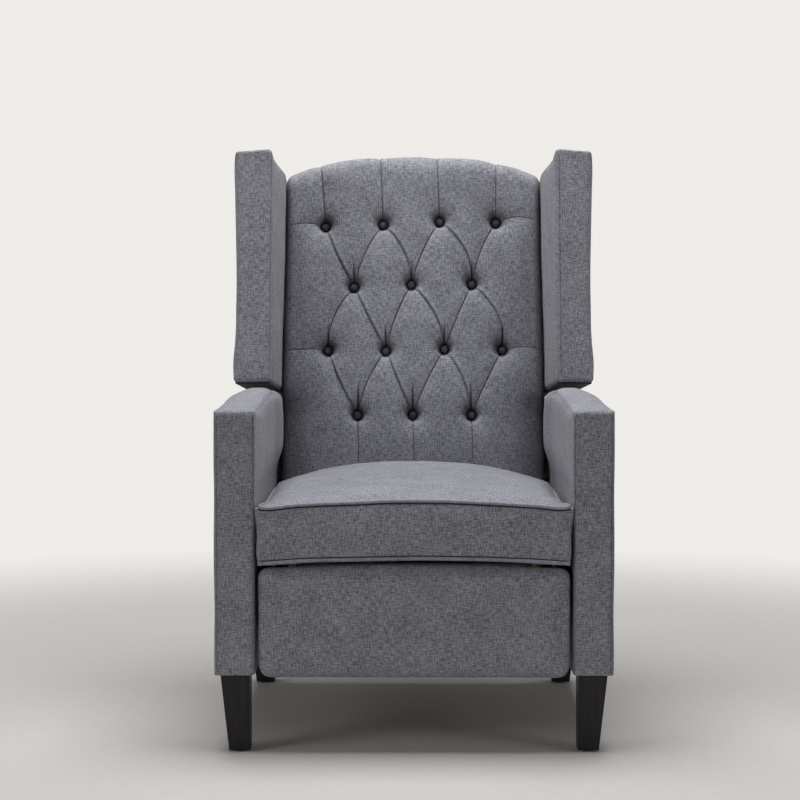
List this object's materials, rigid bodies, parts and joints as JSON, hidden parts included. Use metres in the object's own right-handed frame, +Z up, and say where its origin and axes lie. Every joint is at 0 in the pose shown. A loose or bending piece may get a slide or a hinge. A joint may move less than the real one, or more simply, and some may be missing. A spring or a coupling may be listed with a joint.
{
  "type": "push-back wing recliner",
  "caption": "Upholstered wing recliner with a tufted back, straight arms, boxed seat, folding footrest and tapered square legs.",
  "frame": {"origin": "on the floor, in the middle of the width and of the depth at rest", "axes": "+Z up, the sitter faces -Y, +X to the left hand of the sitter"},
  "size_m": [0.684, 0.82, 1.0641],
  "materials": {
    "fabric": "slubby linen weave",
    "frame_wood": "raw pine",
    "leg_wood": "satin black stain",
    "glide_plastic": "matte",
    "mechanism_steel": "satin black",
    "pin_steel": "zinc plated",
    "felt": "needled felt",
    "webbing": "woven elastic"
  },
  "bodies": {
    "base": {"arm_left": "fabric", "arm_right": "fabric", "arm_bottom_rails": "frame_wood", "arm_top_rails": "frame_wood", "arm_front_posts": "frame_wood", "arm_rear_posts": "frame_wood", "front_legs": "leg_wood", "rear_legs": "leg_wood", "leg_bolts": "pin_steel", "leg_glides": "glide_plastic", "rear_board": "fabric", "base_cross_rail": "frame_wood", "mechanism_rails": "mechanism_steel", "swing_brackets": "mechanism_steel", "back_hinge_brackets": "mechanism_steel", "mechanism_bolts": "pin_steel", "base_pivot_pins": "pin_steel"},
    "back": {"back_side_rails": "frame_wood", "back_top_rail": "frame_wood", "back_bottom_rail": "frame_wood", "back_webbing": "webbing", "back_cushion": "fabric", "back_buttons": "fabric", "wing_left": "fabric", "wing_right": "fabric", "wing_boards": "frame_wood", "back_panel": "fabric", "back_side_covers": "fabric", "back_hinge_plates": "mechanism_steel", "back_hinge_spacers": "mechanism_steel"},
    "swing_links": {"swing_links": "mechanism_steel"},
    "seat": {"seat_front_rail": "frame_wood", "seat_rear_rail": "frame_wood", "seat_side_rails": "frame_wood", "seat_side_plates": "mechanism_steel", "seat_springs": "pin_steel", "seat_felt": "felt", "seat_pivot_pins": "pin_steel", "seat_cushion": "fabric"},
    "crank_links": {"footrest_crank_links": "mechanism_steel", "crank_pins": "pin_steel"},
    "lift_links": {"footrest_lift_links": "mechanism_steel", "lift_pins": "pin_steel"},
    "bell_links": {"footrest_bell_links": "mechanism_steel"},
    "guide_links": {"footrest_guide_links": "mechanism_steel"},
    "footrest": {"footrest_brackets": "mechanism_steel", "footrest_board": "frame_wood", "footrest_pad": "fabric", "footrest_pins": "pin_steel"}
  },
  "joints": [
    {"name": "back_recline", "type": "hinge", "parent": "base", "child": "back", "pos_m": [0, 0.205, 0.42], "axis": [-1, 0, 0], "range_deg": [0, 35]},
    {"name": "seat_swing", "type": "hinge", "parent": "base", "child": "swing_links", "pos_m": [0, -0.215, 0.29], "axis": [-1, 0, 0], "range_deg": [0, 35]},
    {"name": "seat_level", "type": "hinge", "parent": "swing_links", "child": "seat", "pos_m": [0, -0.215, 0.22], "axis": [-1, 0, 0], "range_deg": [-35, 0]},
    {"name": "footrest_crank", "type": "hinge", "parent": "seat", "child": "crank_links", "pos_m": [0, -0.291, 0.298], "axis": [-1, 0, 0], "range_deg": [0, 100]},
    {"name": "footrest_lift", "type": "hinge", "parent": "seat", "child": "lift_links", "pos_m": [0, -0.356, 0.298], "axis": [-1, 0, 0], "range_deg": [0, 100]},
    {"name": "footrest_bell", "type": "hinge", "parent": "crank_links", "child": "bell_links", "pos_m": [0, -0.131, 0.118], "axis": [-1, 0, 0], "range_deg": [-100, 0]},
    {"name": "footrest_guide", "type": "hinge", "parent": "crank_links", "child": "guide_links", "pos_m": [0, -0.144, 0.1715], "axis": [-1, 0, 0], "range_deg": [-100, 0]},
    {"name": "footrest_turn", "type": "hinge", "parent": "bell_links", "child": "footrest", "pos_m": [0, -0.331, 0.22], "axis": [-1, 0, 0], "range_deg": [0, 100]}
  ],
  "couplings": [
    {"joint": "seat_swing", "follows": "back_recline", "ratio": 1},
    {"joint": "seat_level", "follows": "back_recline", "ratio": -1},
    {"joint": "footrest_crank", "follows": "back_recline", "ratio": 2.8571},
    {"joint": "footrest_lift", "follows": "back_recline", "ratio": 2.8571},
    {"joint": "footrest_bell", "follows": "back_recline", "ratio": -2.8571},
    {"joint": "footrest_guide", "follows": "back_recline", "ratio": -2.8571},
    {"joint": "footrest_turn", "follows": "back_recline", "ratio": 2.8571}
  ]
}
